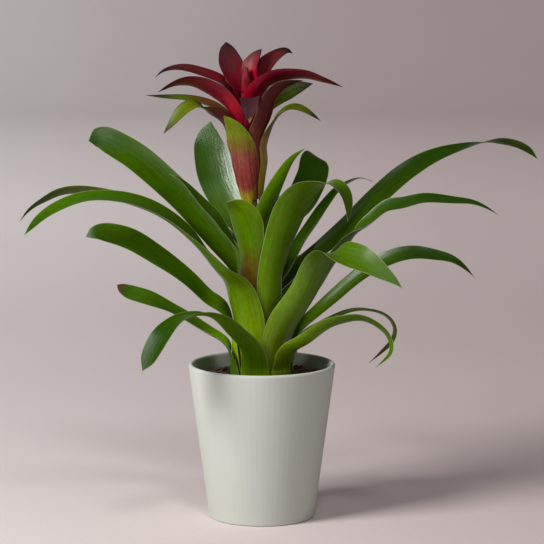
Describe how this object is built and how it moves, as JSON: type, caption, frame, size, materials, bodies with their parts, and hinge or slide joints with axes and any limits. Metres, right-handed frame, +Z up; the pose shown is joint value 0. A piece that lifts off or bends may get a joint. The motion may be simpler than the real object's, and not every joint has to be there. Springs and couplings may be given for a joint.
{
  "type": "potted bromeliad",
  "caption": "Flowering bromeliad in a tapered round pot: a rosette of arching strap leaves round a short stalk with a head of red and green bracts.",
  "frame": {"origin": "middle of the pot's underside, on the surface that the pot stands on", "axes": "+Z up along the pot's axis, +Y away from the side shown in the picture, +X to the right as seen from that side"},
  "size_m": [0.4693, 0.268, 0.4191],
  "materials": {
    "pot_matte": "matte, smooth",
    "bark_mix": "chunky damp bark, matte",
    "stem_green": "smooth living stem",
    "leaf_green": "waxy leaf, semi-gloss",
    "bract_green": "waxy bract, satin",
    "bract_red": "waxy bract, satin"
  },
  "bodies": {
    "root": {"pot": "pot_matte", "soil": "bark_mix", "stem": "stem_green", "flower_cone": "bract_red", "leaf_front_left_low": "leaf_green", "leaf_front_right_low": "leaf_green", "leaf_right_low": "leaf_green", "leaf_left_low": "leaf_green", "leaf_back_low": "leaf_green", "leaf_front_right": "leaf_green", "leaf_left_middle": "leaf_green", "leaf_right_middle": "leaf_green", "leaf_back_right_low": "leaf_green", "leaf_long_left": "leaf_green", "leaf_back_left_low": "leaf_green", "leaf_centre_right": "leaf_green", "leaf_long_left_behind": "leaf_green", "leaf_back_middle": "leaf_green", "leaf_centre_front": "leaf_green", "leaf_right_upper": "leaf_green", "leaf_left_upper": "leaf_green", "leaf_long_right": "leaf_green", "leaf_left_inner": "leaf_green", "leaf_back_tall": "leaf_green", "leaf_right_inner": "leaf_green", "leaf_right_of_stalk": "leaf_green", "leaf_back_right_tall": "leaf_green", "bract_stalk_front": "bract_green", "bract_right_low": "bract_green", "bract_back_low": "bract_green", "bract_left_low": "bract_green", "bract_left_green": "bract_green", "bract_right_green": "bract_green", "bract_front_brown": "bract_green", "bract_left_front_red": "bract_red", "bract_back_red": "bract_red", "bract_right_red": "bract_red", "bract_left_top_red": "bract_red", "bract_right_top_red": "bract_red", "bract_front_top_red": "bract_red", "bract_upright_left_red": "bract_red", "bract_upright_right_red": "bract_red"}
  },
  "joints": []
}
